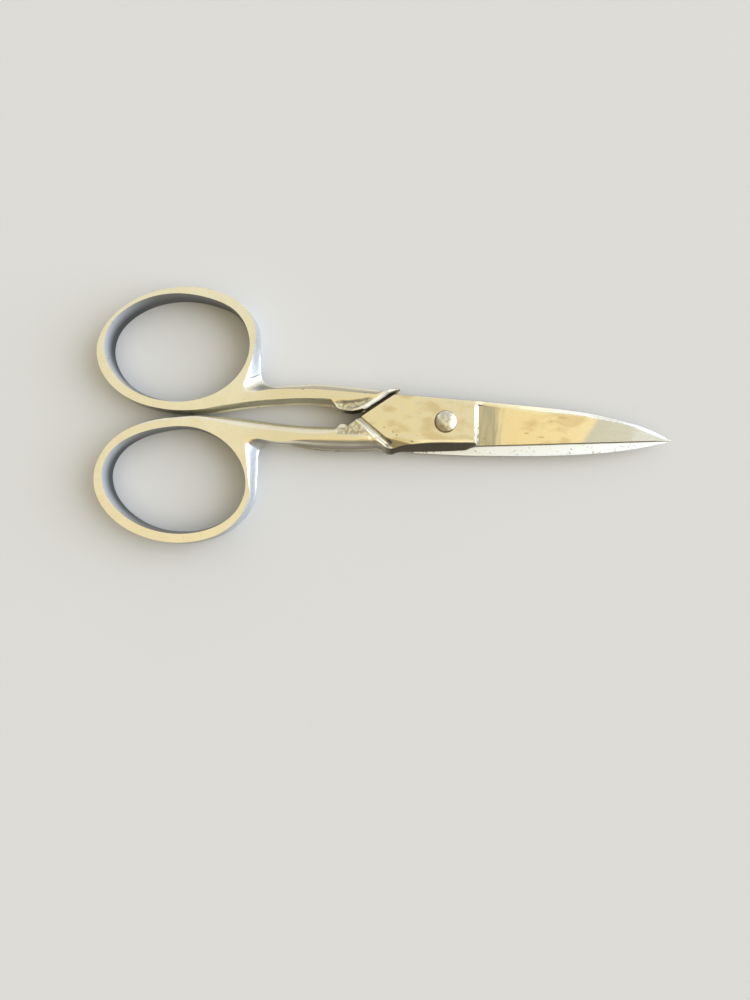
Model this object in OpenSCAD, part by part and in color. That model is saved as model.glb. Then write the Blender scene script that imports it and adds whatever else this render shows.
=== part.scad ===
// Thread snips with finger rings: two forged steel halves crossed at one riveted pivot, shown closed.
// Frame: the origin is on the pivot's axis, at the surface that the snips lie on. +X runs along the
// closed blades to the tips, +Y points to the rear half's ring, and +Z is up, out of the rivet's head.

/* [Overall] */
// Height of the finger rings and handles
handle_h = 4.5; // [4.2:0.1:5]
// Thickness of each half where they cross
block_t = 1.8; // [1.6:0.05:1.9]
// Gap between the inner faces of the two halves
face_gap = 0.05; // [0.03:0.01:0.08]

/* [Finger rings] */
// Half length of a finger opening, along the snips
opening_a = 11; // [10:0.1:11.2]
// Half width of a finger opening, across the snips
opening_b = 8.25; // [7.8:0.05:8.4]
// Turn of each oval opening towards its own handle
opening_tilt = -3; // [-6:0.5:0]
// Centre of the front half's ring, along the snips
front_ring_x = -41; // [-41.5:0.1:-40.8]
// Centre of the front half's ring, to the side of the pivot
front_ring_y = -10.85; // [-11.2:0.05:-10.75]
// Centre of the rear half's ring, along the snips
rear_ring_x = -41.5; // [-41.8:0.1:-41]
// Centre of the rear half's ring, to the side of the pivot
rear_ring_y = 9.4; // [9.3:0.05:9.8]

/* [Pivot] */
// Radius of the rivet's shank
rivet_r = 1; // [0.8:0.05:1.2]
// Running clearance round the shank in the front half
bore_clearance = 0.04; // [0.02:0.01:0.08]
// Radius of the rivet's heads
head_r = 1.72; // [1.5:0.02:1.9]
// Gap between the front half and the rivet's domed head
head_gap = 0.02; // [0.01:0.01:0.05]

/* [Blades] */
// Thickness of a blade at its back, next to the joint
blade_t = 1.35; // [1.1:0.05:1.5]
// Thickness of a blade at its back, near the tip
tip_t = 0.55; // [0.4:0.05:0.7]
// Height of the narrow bevel that forms the cutting edge
edge_bevel = 0.3; // [0.2:0.05:0.4]

/* [Hidden] */

steel = [0.80, 0.77, 0.69];
rivet_steel = [0.68, 0.65, 0.58];

mid_z = handle_h / 2;
// Height of a handle above and below its half's inner face
handle_out = mid_z - face_gap / 2;
handle_in = mid_z + face_gap / 2;

// Around a ring, by the angle from the blades' side: how far outside the oval opening lie the inner edge
// of the flat, the outer edge of the flat, and the widest part of the wall
front_band = [
  [[0, -0.12], [30, 0], [60, 0.21], [78, 0.2], [90, 0], [115, -0.31], [130, -0.25], [150, -0.02], [180, 0.2],
   [215, 0], [290, 0.02], [315, 0.1], [345, -0.05], [360, -0.12]],
  [[0, 0.45], [25, 0.6], [45, 1.3], [60, 1.6], [80, 1.5], [95, 1.15], [110, 0.98], [150, 1.08], [180, 1.33],
   [200, 1.47], [250, 1.35], [305, 1.36], [330, 1.08], [345, 0.7], [360, 0.45]],
  [[0, 1.42], [25, 1.6], [45, 1.7], [60, 1.9], [80, 1.8], [95, 1.5], [110, 1.3], [150, 1.38], [180, 1.63],
   [200, 1.77], [250, 1.65], [305, 1.6], [330, 1.53], [360, 1.42]]];
rear_band = [
  [[0, 0.05], [30, -0.1], [60, 0.02], [165, 0.07], [195, 0.22], [225, 0.05], [285, 0], [300, 0.14],
   [320, 0.46], [330, 0.43], [345, 0.22], [360, 0.05]],
  [[0, 0.85], [10, 0.6], [20, 0.6], [45, 1.3], [65, 1.6], [92, 1.35], [120, 1.36], [150, 1.5], [165, 1.45],
   [180, 1.3], [210, 0.68], [225, 0.53], [240, 0.55], [270, 0.88], [300, 1.53], [320, 1.8], [330, 1.83],
   [345, 1.4], [360, 0.85]],
  [[0, 1.3], [25, 1.6], [45, 1.8], [65, 1.9], [92, 1.68], [120, 1.65], [150, 1.8], [180, 1.6], [210, 0.98],
   [240, 0.82], [270, 1.1], [300, 1.66], [320, 1.93], [335, 1.95], [350, 1.6], [360, 1.3]]];
ring_inner_lean = 0.25;
ring_wall_h = 0.35;
ring_steps = 96;

// The shoulder that crosses each half: a straight edge, and the step that faces the other half's edge
front_shoulder = [-12, 0.98];
rear_shoulder = [-9.95, 0.98];
shoulder_angle = 36.5;
shoulder_gap = 0.42;
// The groove beside the cheek runs from the shoulder's edge down to the handle's outer side. Its section is
// given across it, towards the block, and up from the block's top.
groove_at = [-12.7, -0.35];
groove_angle = -37.5;
groove_before = 1;
groove_run = 7.4;
groove_section = [[-0.28, -0.3], [0, -0.3], [0.34, 0], [0.34, 1], [-1.07, 1]];
// Along the groove, the cheek and the handle's outer face fall away from here on
heel_from = 1;
heel_fall = 7;

// The raised cheek of each half, between its shoulder's edge and the groove
cheek_h = 2.05;
cheek = [[-15.4, -3.2], [-15.3, -1.1], [-14.9, -1.19], [-13.2, 0.1], [-12.5, 0.1], [-8.9, -2.6], [-9.4, -4.2],
         [-12, -4.4]];

blade_start = 5.2;
blade_end = 35.3;
cut_size = 30;

// Handle sections: x, then y of the outer side, the flat's two edges and the inner side
front_handle = [
  [-36.5, -3.0, -2.9, -1.6, -0.7],
  [-34.0, -4.3, -4.2, -1.9, -0.8],
  [-31.6, -6.0, -5.8, -2.25, -0.95],
  [-30.6, -6.5, -4.6, -2.4, -1.0],
  [-28.8, -6.0, -4.05, -2.55, -1.15],
  [-28.1, -5.25, -4.1, -2.6, -1.2],
  [-27.1, -4.65, -4.2, -2.7, -1.3],
  [-24.0, -4.67, -4.2, -2.85, -1.5],
  [-21.0, -5.05, -3.65, -2.95, -1.62],
  [-17.2, -5.26, -3.3, -2.8, -1.56],
  [-16.2, -5.26, -3.25, -2.7, -0.9],
  [-14.5, -5.2, -3.2, -2.1, -0.9],
  [-12.0, -5.02, -3.2, -1.2, -0.3],
  [-9.6, -4.95, -3.7, -2.6, -1.6],
  [-8.3, -5.3, -4.4, -3.4, -2.7],
  [-7.2, -5.0, -4.6, -4.0, -3.5],
  [-6.0, -4.8, -4.65, -4.45, -4.2]];
rear_handle = [
  [-37.0, -1.9, -1.8, -0.5, 0.45],
  [-34.5, -3.2, -3.0, -0.8, 0.05],
  [-32.0, -5.0, -4.6, -1.3, -0.55],
  [-31.0, -5.6, -3.6, -1.5, -0.75],
  [-28.8, -5.55, -3.4, -1.85, -1.1],
  [-28.35, -5.05, -3.45, -1.9, -1.15],
  [-27.6, -4.6, -3.55, -2.0, -1.25],
  [-24.3, -4.69, -3.84, -2.33, -1.63],
  [-20.0, -5.04, -3.96, -2.6, -1.76],
  [-17.3, -5.0, -3.88, -2.64, -1.6],
  [-16.3, -4.95, -3.84, -2.6, -0.95],
  [-14.2, -4.82, -3.76, -2.5, -0.75],
  [-12.0, -4.69, -3.68, -2.2, -0.95],
  [-9.6, -4.53, -3.75, -3.0, -1.8],
  [-8.3, -4.7, -4.2, -3.8, -3.1],
  [-7.6, -4.75, -4.5, -4.2, -3.9]];

// Block sections: x, then y of the cutting side at the inner face and at the outer face, and y of the back
front_block = [
  [-14.9, -1.75, -1.6, -1.19],
  [-12.0, -3.2, -2.9, 0.98],
  [-8.1, -4.85, -2.95, 3.83],
  [-6.5, -4.75, -3.45, 3.82],
  [-3.6, -4.7, -3.35, 3.76],
  [0, -4.44, -3.08, 3.6],
  [2.7, -4.2, -3.0, 3.48],
  [4.4, -3.72, -2.93, 3.42],
  [4.8, -3.6, -3.2, 3.41]];
rear_block = [
  [-12.9, -1.75, -1.6, -1.2],
  [-11.0, -3.2, -2.9, 0.2],
  [-8.3, -4.3, -2.9, 2.2],
  [-6.7, -4.05, -3.2, 3.38],
  [-4.6, -3.97, -3.1, 4.92],
  [0, -3.8, -2.9, 4.93],
  [2.7, -3.6, -2.8, 4.93],
  [4.4, -3.3, -2.7, 4.92],
  [4.8, -3.0, -2.8, 4.92]];

// Blade backs: x, then y of the lower edge of the back's bevel and y of the back itself
front_back = [[blade_start, 2.82, 3.42], [10, 2.45, 3.2], [15, 2.15, 3.0], [20, 1.98, 2.68],
              [23.4, 1.6, 2.27], [26.9, 1.1, 1.7], [30, 0.4, 0.95], [32.6, -0.4, 0.1], [34.3, -1.0, -0.62]];
rear_back = [[blade_start, 4.3, 4.92], [10, 4.0, 4.68], [15.4, 3.7, 4.45], [20.2, 3.35, 4.07],
             [25.3, 2.85, 3.49], [30.3, 2.05, 2.6], [33.2, 1.5, 1.87], [34.4, 1.33, 1.54]];
// Cutting edges: y at the first and last end of each straight edge
front_edge = [-3.52, -1.3];
rear_edge = [-2.72, 1.25];

function flip(point) = [point.x, -point.y];
function mix(a, b, t) = a + (b - a) * t;
function turn(point, angle) = [point.x * cos(angle) - point.y * sin(angle),
                               point.x * sin(angle) + point.y * cos(angle)];

// A solid skin over a row of sections that all have the same number of points
module skin(sections, closed = false) {
  n = len(sections[0]);
  m = len(sections);
  last = closed ? m - 1 : m - 2;
  sides = [for (i = [0:last], k = [0:n - 1]) let (a = i * n, b = ((i + 1) % m) * n, j = (k + 1) % n)
           each [[a + k, a + j, b + j], [a + k, b + j, b + k]]];
  ends = closed ? [] : [[for (k = [n - 1:-1:0]) k], [for (k = [0:n - 1]) (m - 1) * n + k]];
  polyhedron([for (section = sections) each section], concat(sides, ends));
}

// One section of a half, at x, from points [y, z] listed clockwise as seen from the tips
function across(x, points) = [for (p = points) [x, p.x, p.y]];

function handle_section(s) = across(s[0], [[s[1], -ring_wall_h], [s[1], ring_wall_h], [s[2], handle_out],
  [s[3], handle_out], [s[4], ring_wall_h], [s[4], -ring_wall_h], [s[3], -handle_in], [s[2], -handle_in]]);

function block_section(s) = across(s[0], [[s[1], 0], [s[2], block_t], [s[3] - 0.15, block_t],
  [s[3], block_t - 0.2], [s[3], 0]]);

// Along a blade, t runs from 0 at the joint to 1 at the tip
function blade_section(s, edge) = let (
    t = (s[0] - blade_start) / (blade_end - blade_start),
    edge_y = mix(edge[0], edge[1], t),
    thick = mix(blade_t, tip_t, t),
    bevel = min(edge_bevel, thick * 0.6))
  across(s[0], [[edge_y, 0], [edge_y + bevel / 2, bevel], [s[1], thick], [s[2], thick * 0.55], [s[2], 0]]);

function blade_tip(edge) = across(blade_end, [[edge[1], 0], [edge[1] + 0.03, 0.12], [edge[1] + 0.08, 0.25],
  [edge[1] + 0.2, 0.14], [edge[1] + 0.2, 0]]);

// A finger ring: an oval band whose walls lean out a little below its flat faces
module ring(centre, band) {
  function edge_at(angle, out) = let (
      p = [opening_a * cos(angle), opening_b * sin(angle)],
      normal = [opening_b * cos(angle), opening_a * sin(angle)])
    centre + turn(p + normal / norm(normal) * out, opening_tilt);
  skin([for (i = [0:ring_steps - 1]) let (
      angle = 360 - i * 360 / ring_steps,
      outer = edge_at(angle, lookup(angle, band[2])),
      outer_flat = edge_at(angle, lookup(angle, band[1])),
      inner_flat = edge_at(angle, lookup(angle, band[0])),
      inner = edge_at(angle, lookup(angle, band[0]) - ring_inner_lean))
    [[inner.x, inner.y, -ring_wall_h], [inner.x, inner.y, ring_wall_h],
     [inner_flat.x, inner_flat.y, handle_out], [outer_flat.x, outer_flat.y, handle_out],
     [outer.x, outer.y, ring_wall_h], [outer.x, outer.y, -ring_wall_h],
     [outer_flat.x, outer_flat.y, -handle_in], [inner_flat.x, inner_flat.y, -handle_in]]], closed = true);
}

// Everything to the left of a line through a point, as seen along it, from height low up
module beside(point, angle, low) {
  translate([point.x, point.y, low]) rotate(angle) translate([-cut_size, 0, 0])
    linear_extrude(cut_size) square([2 * cut_size, cut_size]);
}

// The handle and its cheek, falling away towards the heel, cut away past the groove, and cut below where
// the other half's block turns
module handle(sections, shift, other_shoulder) {
  step_at = flip(other_shoulder) + turn([0, -shoulder_gap], -shoulder_angle);
  groove_start = groove_at + [shift, 0];
  difference() {
    union() {
      skin([for (s = sections) handle_section(s)]);
      translate([shift, 0, 0]) linear_extrude(cheek_h) polygon(cheek);
    }
    beside(step_at, -shoulder_angle, -cut_size);
    beside(groove_start, groove_angle, 0);
    translate([groove_start.x, groove_start.y, handle_out]) rotate(groove_angle)
      translate([heel_from, -cut_size, 0]) rotate([0, heel_fall, 0]) cube([cut_size, 2 * cut_size, cut_size]);
  }
}

// One half in its own frame: inner face at z = 0, outer face up, handle on the -y side. Its shoulder,
// cheek and groove all lie further along the half by the same shift.
module half(handle_rows, block_rows, back, edge, ring_centre, band, bore_r, shoulder, other_shoulder) {
  shift = shoulder.x - front_shoulder.x;
  difference() {
    union() {
      ring(ring_centre, band);
      handle(handle_rows, shift, other_shoulder);
      skin(concat([for (s = block_rows) block_section(s)], [for (s = back) blade_section(s, edge)],
                  [blade_tip(edge)]));
    }
    translate([groove_at.x + shift, groove_at.y, block_t]) rotate(groove_angle) rotate([90, 0, 90])
      translate([0, 0, -groove_before]) linear_extrude(groove_before + groove_run) polygon(groove_section);
    translate([0, 0, -1]) cylinder(r = bore_r, h = block_t + 2, $fn = 64);
  }
}

// Front half: its blade lies on top, and its ring is on the -y side
module front_half() {
  color(steel) translate([0, 0, mid_z + face_gap / 2])
    half(front_handle, front_block, front_back, front_edge, [front_ring_x, front_ring_y], front_band,
         rivet_r + bore_clearance, front_shoulder, rear_shoulder);
}

// Rear half: the same forging turned over, with its ring on the +y side
module rear_half() {
  color(steel) translate([0, 0, mid_z - face_gap / 2]) rotate([180, 0, 0])
    half(rear_handle, rear_block, rear_back, rear_edge, [rear_ring_x, -rear_ring_y], rear_band, rivet_r,
         rear_shoulder, front_shoulder);
}

// Rivet: a domed head on the front half, a shank through both, and a flat head under the rear half
module rivet() {
  front_face = mid_z + face_gap / 2 + block_t;
  rear_face = mid_z - face_gap / 2 - block_t;
  dome_z = front_face + head_gap;
  color(rivet_steel) rotate_extrude($fn = 64) polygon([[0, 0], [head_r - 0.25, 0], [head_r, 0.2],
    [head_r, rear_face], [rivet_r, rear_face], [rivet_r, dome_z], [head_r, dome_z], [head_r, dome_z + 0.12],
    [head_r * 0.75, dome_z + 0.3], [head_r * 0.4, handle_h - 0.02], [0, handle_h]]);
}

front_half();
rear_half();
rivet();
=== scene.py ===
"""Thread snips with finger rings: two forged steel halves and a hammered rivet, closed on a pale floor.

Every outline below is in millimetres, in a half's own frame: the inner face is z = 0, the outer face is up
and the handle lies on the -y side. The rear half is the same forging turned over about the x axis.
"""
import math

import bpy
import numpy as np
from mathutils import Matrix, Vector, kdtree, noise
from mathutils.geometry import delaunay_2d_cdt


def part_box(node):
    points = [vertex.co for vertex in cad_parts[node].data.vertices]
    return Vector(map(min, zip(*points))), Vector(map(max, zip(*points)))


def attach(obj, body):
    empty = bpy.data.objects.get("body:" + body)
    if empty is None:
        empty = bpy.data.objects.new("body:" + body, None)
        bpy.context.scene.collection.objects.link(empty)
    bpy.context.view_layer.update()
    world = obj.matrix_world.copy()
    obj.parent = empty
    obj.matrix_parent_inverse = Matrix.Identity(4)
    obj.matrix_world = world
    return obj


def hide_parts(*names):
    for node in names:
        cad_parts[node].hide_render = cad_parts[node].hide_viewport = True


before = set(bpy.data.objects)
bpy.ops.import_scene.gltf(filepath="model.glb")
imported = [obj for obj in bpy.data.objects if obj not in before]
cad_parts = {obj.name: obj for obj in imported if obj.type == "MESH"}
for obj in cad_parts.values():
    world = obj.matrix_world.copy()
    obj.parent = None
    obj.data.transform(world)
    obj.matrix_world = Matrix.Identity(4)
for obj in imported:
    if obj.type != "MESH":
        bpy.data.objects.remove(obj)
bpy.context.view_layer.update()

MM = 0.001
RIVET_LOW, RIVET_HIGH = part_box("rivet")
HANDLE_H = RIVET_HIGH.z / MM
FACE_GAP = 0.05
BLOCK_T = 1.8
MID_Z = HANDLE_H / 2
HANDLE_OUT = MID_Z - FACE_GAP / 2
HANDLE_IN = MID_Z + FACE_GAP / 2
HEAD_R = (RIVET_HIGH.x - RIVET_LOW.x) / 2 / MM
RIVET_R = 1.0
BORE_CLEARANCE = 0.04
BORE_EASE = 0.05
HEAD_GAP = 0.02

# ---- Outlines ----

OPENING = (11.0, 8.25)
OPENING_TILT = math.radians(-3)
RING_INNER_LEAN = 0.25
RING_STEP = 6

# A station is the outline at the inner face's height, then the flat's edge on the outer side, then on the
# inner side where it differs. The inner run goes from the shoulder to the ring, the outer run from the ring to
# the block's heel, and the cutting run on to the start of the edge. A ring's rows go by the angle on its oval
# opening, from the blades' side: how far outside the oval the flat's two edges and the outline lie.
# The shoulder is a straight edge from the back down to the handle. The step, by its foot and then its
# crest, is where the other half's shoulder turns: it crosses the inner side only, with a raised lip along it,
# up to lip_end. The flat edge bounds the recess beside the lip. The strip's line divides the ground face from
# the narrow strip along the back. The shift is how much further towards the tips the groove and heel lie.
FRONT = {
    "ring": (-41.0, -10.85),
    "flat_in": ((0, -0.12), (15, -0.1), (30, 0.0), (45, 0.12), (60, 0.21), (78, 0.2), (90, 0.0), (100, -0.2),
                (115, -0.31), (130, -0.25), (150, -0.02), (165, 0.12), (180, 0.2), (195, 0.12), (215, 0.0),
                (290, 0.02), (315, 0.1), (330, 0.07), (345, -0.05)),
    "flat_out": ((95, 1.15), (110, 0.98), (130, 1.0), (150, 1.08), (165, 1.15), (180, 1.33), (195, 1.47),
                 (215, 1.45), (250, 1.35), (290, 1.32), (305, 1.36), (318, 1.28), (330, 1.08), (340, 0.85)),
    "outline": ((95, 1.5), (110, 1.3), (130, 1.3), (150, 1.38), (165, 1.45), (180, 1.63), (195, 1.77),
                (215, 1.75), (250, 1.65), (290, 1.58), (305, 1.6), (318, 1.6), (330, 1.53), (340, 1.47)),
    "inner": [
        (-12.75, 0.43, -12.66, 0.31, -12.95, 0.05), (-13.9, -0.41, -13.81, -0.54, -13.95, -0.75),
        (-14.75, -1.03, -14.66, -1.18, -14.9, -1.4), (-14.95, -1.12, -14.9, -1.3, -15.1, -1.5),
        (-15.25, -1.0, -15.2, -1.2, -15.4, -1.45), (-15.65, -0.84, -15.65, -1.08, -15.75, -1.35),
        (-16.1, -0.86, -16.05, -1.15, -16.15, -1.4), (-16.5, -1.25, -16.4, -1.55, -16.7, -1.75),
        (-16.95, -1.54, -17.0, -2.3, -17.3, -2.4), (-18.5, -1.6, -18.5, -2.83), (-20.2, -1.63, -20.2, -2.94),
        (-24.3, -1.5, -24.3, -2.85), (-28.4, -1.2, -28.4, -2.58), (-32.0, -0.92, -32.0, -2.2),
        (-34.0, -0.81, -34.0, -1.8), (-36.0, -0.74, -36.0, -1.38), (-38.0, -0.72, -38.0, -1.12)],
    "outer": [
        (-28.85, -12.8, -29.45, -12.7), (-28.8, -11.0, -29.65, -11.0), (-28.75, -9.0, -29.9, -9.0),
        (-28.75, -7.3, -30.25, -7.0), (-28.75, -6.2, -30.5, -5.4), (-28.5, -5.6, -30.55, -4.5),
        (-28.0, -5.15, -30.1, -4.15),
        (-27.3, -4.75, -29.0, -4.0), (-26.3, -4.6, -26.8, -4.2), (-24.3, -4.67, -24.4, -4.24),
        (-22.2, -4.91, -22.2, -3.82), (-20.2, -5.17, -20.0, -3.56), (-18.1, -5.26, -18.0, -3.4),
        (-16.1, -5.26, -16.0, -3.27), (-14.0, -5.17, -14.0, -3.25), (-12.0, -5.03, -12.2, -3.02),
        (-10.2, -4.9, -11.0, -3.0, -10.95, -3.2), (-9.3, -5.0, -9.85, -3.72, -9.8, -3.95),
        (-8.6, -5.3, -8.9, -4.32, -8.6, -4.85), (-7.9, -5.3, -7.9, -4.45, -7.9, -4.9),
        (-7.2, -5.0, -7.1, -4.15, -7.25, -4.72), (-6.2, -4.8, -6.0, -3.85, -6.5, -4.62),
        (-5.5, -4.77, -5.4, -3.72, -6.0, -4.6)],
    "cutting": [
        (-5.5, -4.77, -5.4, -3.72), (-4.0, -4.72, -4.2, -3.5), (-2.0, -4.58, -2.0, -3.22),
        (0.0, -4.44, 0.0, -3.1), (2.4, -4.22, 2.6, -3.02), (3.7, -4.02, 4.1, -2.97),
        (4.25, -3.76, 4.7, -3.02), (4.8, -3.6, 5.05, -3.3), (5.4, -3.5, 5.5, -3.32)],
    "edge": ((5.4, -3.5), (35.3, -1.28)),
    "back": [
        (35.4, -1.18), (34.75, -0.83), (33.8, -0.4), (32.6, 0.12), (31.3, 0.55), (30.0, 0.93), (28.5, 1.3),
        (26.9, 1.68), (25.0, 2.02), (23.0, 2.35), (20.0, 2.7), (15.0, 3.02), (10.0, 3.22), (5.0, 3.44),
        (0.0, 3.62), (-5.0, 3.8), (-7.7, 3.84)],
    "shoulder": ((-8.1, 3.83), (-12.66, 0.5)),
    "step": [
        (-12.4, 0.2, -12.65, -0.1), (-11.5, -0.42, -11.72, -0.72), (-10.5, -1.16, -10.72, -1.46),
        (-9.5, -1.9, -9.72, -2.2), (-8.5, -2.64, -8.72, -2.94), (-7.5, -3.38, -7.72, -3.68),
        (-6.7, -3.97, -6.92, -4.22), (-6.1, -4.32, -6.35, -4.48)],
    "lip": ((-16.0, -1.55), (-15.0, -1.35), (-14.0, -0.75), (-13.0, -0.1), (-12.65, -0.1), (-11.72, -0.72),
            (-9.72, -2.2), (-7.72, -3.68), (-6.9, -4.25), (-6.2, -4.52), (-5.5, -4.62)),
    "flat_edge": ((-18.0, -2.64), (-14.0, -2.5), (-11.5, -2.6), (-9.8, -3.2), (-8.6, -3.8), (-7.0, -4.6)),
    "lip_end": -7.0,
    "shift": 0.0,
    "strip": ((4.4, 2.78), (8.0, 2.62), (12.0, 2.32), (15.0, 2.2), (20.0, 2.08), (21.8, 1.98), (23.4, 1.74),
              (27.5, 1.2), (29.4, 0.79), (31.9, -0.04), (34.5, -0.92)),
}
REAR = {
    "ring": (-41.5, -9.4),
    "flat_in": ((0, 0.05), (15, -0.07), (30, -0.1), (60, 0.02), (120, 0.07), (165, 0.07), (180, 0.18),
                (195, 0.22), (210, 0.17), (225, 0.05), (240, 0.0), (270, -0.02), (285, 0.0), (300, 0.14),
                (310, 0.33), (320, 0.46), (330, 0.43), (345, 0.22)),
    "flat_out": ((92, 1.35), (105, 1.28), (120, 1.36), (135, 1.47), (150, 1.5), (165, 1.45), (180, 1.3),
                 (195, 0.98), (210, 0.68), (225, 0.53), (240, 0.55), (255, 0.66), (270, 0.88), (285, 1.2),
                 (300, 1.53), (310, 1.7), (320, 1.8), (330, 1.83), (338, 1.72)),
    "outline": ((92, 1.68), (105, 1.58), (120, 1.65), (135, 1.75), (150, 1.8), (165, 1.75), (180, 1.6),
                (195, 1.28), (210, 0.98), (225, 0.82), (240, 0.82), (255, 0.9), (270, 1.1), (285, 1.36),
                (300, 1.66), (310, 1.82), (320, 1.93), (330, 1.97), (338, 1.92)),
    "inner": [
        (-13.05, -1.1, -13.1, -1.34, -13.15, -1.36), (-13.6, -0.93, -13.6, -1.25, -13.6, -1.14),
        (-14.3, -0.76, -14.3, -1.2, -14.3, -0.97), (-15.2, -0.77, -15.2, -1.3, -15.2, -0.98),
        (-15.85, -0.83, -15.85, -1.4, -15.9, -1.08), (-16.6, -1.0, -16.4, -1.75, -16.65, -1.35),
        (-16.95, -1.35, -16.9, -2.3, -17.1, -1.9),
        (-17.5, -1.62, -17.6, -2.6, -17.6, -2.5), (-18.5, -1.7, -18.5, -2.63), (-20.2, -1.75, -20.2, -2.6),
        (-22.2, -1.77, -22.2, -2.51), (-24.3, -1.63, -24.3, -2.34), (-26.3, -1.43, -26.3, -2.13),
        (-28.35, -1.16, -28.35, -1.9), (-30.4, -0.86, -30.4, -1.58), (-32.4, -0.45, -32.4, -1.22),
        (-34.5, -0.04, -34.5, -0.8), (-37.0, 0.35, -37.0, -0.2)],
    "outer": [
        (-29.42, -12.6, -29.62, -12.45), (-29.2, -10.44, -29.68, -10.2), (-29.06, -8.4, -30.0, -8.2),
        (-28.96, -6.9, -30.45, -6.5), (-28.85, -6.0, -30.9, -5.1), (-28.7, -5.5, -31.25, -4.0),
        (-28.35, -5.04, -31.1, -3.42), (-27.74, -4.65, -29.8, -3.22), (-26.3, -4.43, -27.2, -3.6),
        (-24.3, -4.69, -24.3, -3.84), (-22.2, -4.89, -22.2, -3.92), (-20.2, -5.04, -20.2, -3.97),
        (-18.15, -5.04, -18.1, -3.92), (-16.1, -4.94, -16.1, -3.85), (-14.1, -4.81, -14.1, -3.76),
        (-12.0, -4.69, -12.2, -3.7), (-10.2, -4.58, -10.7, -3.85, -10.6, -3.72),
        (-9.3, -4.6, -9.6, -4.3, -9.4, -4.3), (-8.6, -4.72, -8.8, -4.4, -8.6, -4.5),
        (-7.9, -4.85, -8.0, -4.3, -7.9, -4.65), (-7.2, -4.65, -7.1, -4.0, -7.45, -4.58)],
    "cutting": [
        (-7.2, -4.65, -7.1, -4.0), (-6.95, -4.05, -6.8, -3.4), (-6.4, -3.92, -6.2, -3.2),
        (-4.0, -3.9, -4.2, -3.15), (0.0, -3.8, 0.0, -2.95), (2.4, -3.65, 2.6, -2.85), (3.7, -3.4, 4.1, -2.75),
        (4.25, -3.15, 4.7, -2.75), (4.8, -2.9, 5.05, -2.6), (5.4, -2.7, 5.5, -2.52)],
    "edge": ((5.4, -2.7), (35.05, 1.22)),
    "back": [
        (35.15, 1.3), (34.4, 1.56), (33.5, 1.77), (30.3, 2.6), (25.3, 3.49), (20.2, 4.07), (15.4, 4.45),
        (8.3, 4.77), (5.0, 4.9), (0.0, 4.93), (-4.2, 4.92)],
    "shoulder": ((-4.54, 4.87), (-12.8, -1.13)),
    "step": [
        (-12.75, -1.26, -12.85, -1.5), (-12.2, -1.42, -12.4, -1.8), (-11.5, -1.95, -11.75, -2.28),
        (-10.5, -2.62, -10.78, -3.0), (-9.6, -3.27, -9.85, -3.62), (-9.0, -3.72, -9.2, -4.02),
        (-8.3, -4.1, -8.45, -4.35), (-7.65, -4.32, -7.8, -4.48)],
    "lip": ((-16.7, -1.3), (-15.6, -1.02), (-14.4, -1.0), (-12.95, -1.5), (-11.75, -2.28), (-10.78, -3.0),
            (-9.85, -3.62), (-9.1, -4.12), (-8.3, -4.45), (-7.5, -4.55)),
    "flat_edge": ((-18.0, -2.64), (-15.0, -2.6), (-13.0, -3.0), (-11.6, -3.3), (-10.8, -3.6), (-9.0, -4.6)),
    "lip_end": -9.2,
    "shift": 2.05,
    "strip": ((4.4, 4.25), (10.0, 4.0), (15.4, 3.7), (20.2, 3.35), (25.3, 2.85), (30.3, 2.05), (33.2, 1.5),
              (34.5, 1.3)),
}
OUTLINE_STEP = 0.22
EDGE_STEP = 0.35
BACK_INSET = 0.13
EDGE_INSET = 0.17
TIP_RUN = 2.5


def ring_point(half, angle, out):
    """A point of a ring, by its angle on the oval opening and its distance outside it."""
    a, b = OPENING
    c, s = math.cos(math.radians(angle)), math.sin(math.radians(angle))
    normal = np.array([b * c, a * s]) / math.hypot(b * c, a * s)
    x, y = np.array([a * c, b * s]) + normal * out
    ct, st = math.cos(OPENING_TILT), math.sin(OPENING_TILT)
    return half["ring"][0] + x * ct - y * st, half["ring"][1] + x * st + y * ct


def ring_stations(half):
    """The ring's part of the outline, as stations."""
    first, last = half["outline"][0][0], half["outline"][-1][0]
    rows = []
    for angle in np.linspace(first, last, round((last - first) / RING_STEP) + 1):
        rows.append(ring_point(half, angle, np.interp(angle, *zip(*half["outline"])))
                    + ring_point(half, angle, np.interp(angle, *zip(*half["flat_out"]))))
    return rows


def six(stations):
    """Stations with the inner side's flat edge filled in."""
    return np.array([tuple(s) + tuple(s[2:4]) if len(s) == 4 else s for s in stations], float)


def smooth_run(points, step):
    """Points along a smooth curve through the given ones, in as many columns as they have."""
    points = np.asarray(points, float)
    pairs = points.reshape(len(points), -1, 2)
    gaps = np.linalg.norm(np.diff(pairs, axis=0), axis=2).max(axis=1)
    slopes = np.diff(points, axis=0) / gaps[:, None]
    tangents = np.empty_like(points)
    tangents[0], tangents[-1] = slopes[0], slopes[-1]
    before, after = gaps[:-1, None], gaps[1:, None]
    tangents[1:-1] = (slopes[:-1] * after + slopes[1:] * before) / (before + after)
    out = []
    for i, gap in enumerate(gaps):
        n = max(1, math.ceil(gap / step))
        t = (np.arange(n) / n)[:, None]
        p0, p1, m0, m1 = points[i], points[i + 1], tangents[i] * gap, tangents[i + 1] * gap
        out.append((2 * t**3 - 3 * t**2 + 1) * p0 + (t**3 - 2 * t**2 + t) * m0
                   + (3 * t**2 - 2 * t**3) * p1 + (t**3 - t**2) * m1)
    out.append(points[-1:])
    return np.concatenate(out)


def inset(points, distance, tip):
    """An open run of points moved to its left by a distance, which narrows towards the blade's tip."""
    along = np.gradient(points, axis=0)
    left = np.stack([-along[:, 1], along[:, 0]], axis=1) / np.linalg.norm(along, axis=1)[:, None]
    narrow = np.clip(np.linalg.norm(points - tip, axis=1) / TIP_RUN, 0.15, 1)
    return points + left * distance * narrow[:, None]


# ---- Heights of the outer and inner surfaces ----

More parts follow.
